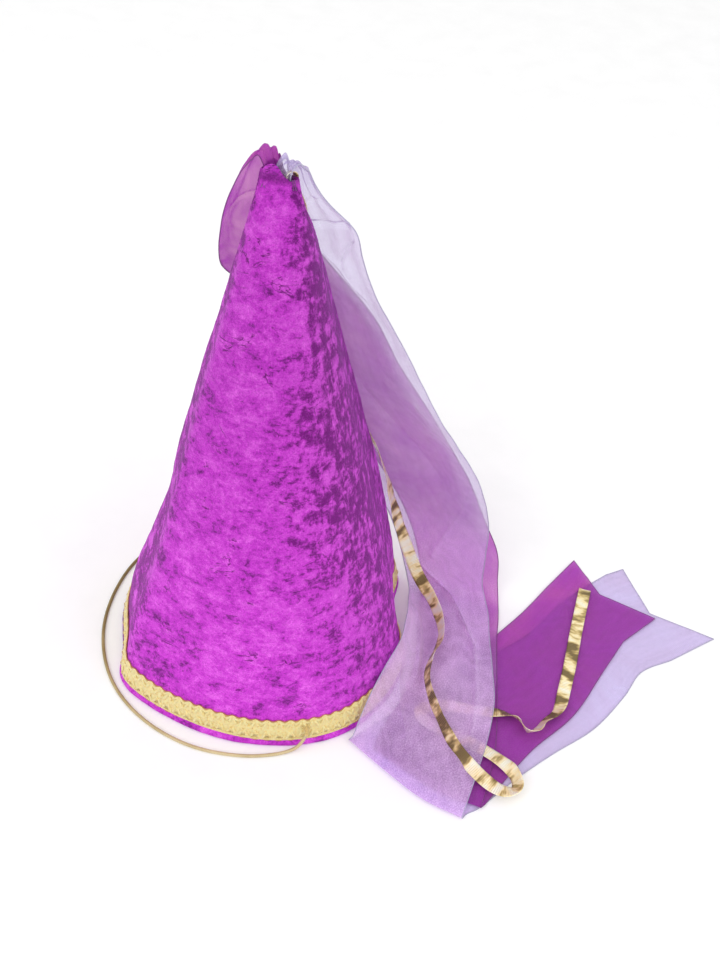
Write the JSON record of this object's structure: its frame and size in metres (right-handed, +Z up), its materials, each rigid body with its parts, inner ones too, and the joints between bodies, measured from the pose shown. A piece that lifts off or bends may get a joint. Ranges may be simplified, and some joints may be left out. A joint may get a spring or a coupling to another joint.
{
  "type": "conical costume hat",
  "caption": "Tall brimless cone hat in crushed purple velvet with gold braid, chin elastic, and a veil of two organza ribbons and a gold ribbon from its tip.",
  "frame": {"origin": "middle of the rim opening, on the plane that the hem stands on", "axes": "+Z up along the cone to its tip; -Y is the side seen in the picture; the wearer's back is towards the crease at 38 degrees from +X, where the veil falls"},
  "size_m": [0.3941, 0.2132, 0.3392],
  "materials": {
    "card": "matt grey-brown board",
    "join_tape": "matt paper tape",
    "lining": "plain matt non-woven",
    "purple_velvet": "crushed pile with a soft sheen",
    "purple_thread": "matt thread",
    "gold_gimp": "woven metallic braid, satin",
    "gold_thread": "satin thread",
    "elastic_cord": "covered elastic, satin",
    "magenta_organza": "sheer, with dark selvedges",
    "lilac_organza": "sheer, with fine selvedges",
    "gold_lame": "metallic ribbon, creased"
  },
  "bodies": {
    "hat": {"card_cone": "card", "card_join_tape": "join_tape", "inner_lining": "lining", "velvet_cover": "purple_velvet", "hem_stitches": "purple_thread", "gold_braid": "gold_gimp", "braid_stitches": "gold_thread", "elastic_tack_front": "gold_thread", "elastic_tack_back": "gold_thread", "tip_binding_thread": "purple_thread", "tip_stitches": "purple_thread"},
    "veil": {"veil_magenta": "magenta_organza", "veil_lilac": "lilac_organza", "gold_ribbon": "gold_lame"},
    "chin_strap": {"chin_elastic": "elastic_cord"}
  },
  "joints": [
    {"name": "veil_lift", "type": "hinge", "parent": "hat", "child": "veil", "pos_m": [0.005, 0.004, 0.326], "axis": [0.3, -0.9539, 0], "range_deg": [0, 45], "deforming": ["veil_magenta", "veil_lilac", "gold_ribbon"]},
    {"name": "chin_elastic_swing", "type": "hinge", "parent": "hat", "child": "chin_strap", "pos_m": [0.0379, -0.0795, 0.0144], "axis": [-0.4134, 0.9106, 0], "range_deg": [-100, 40]}
  ]
}
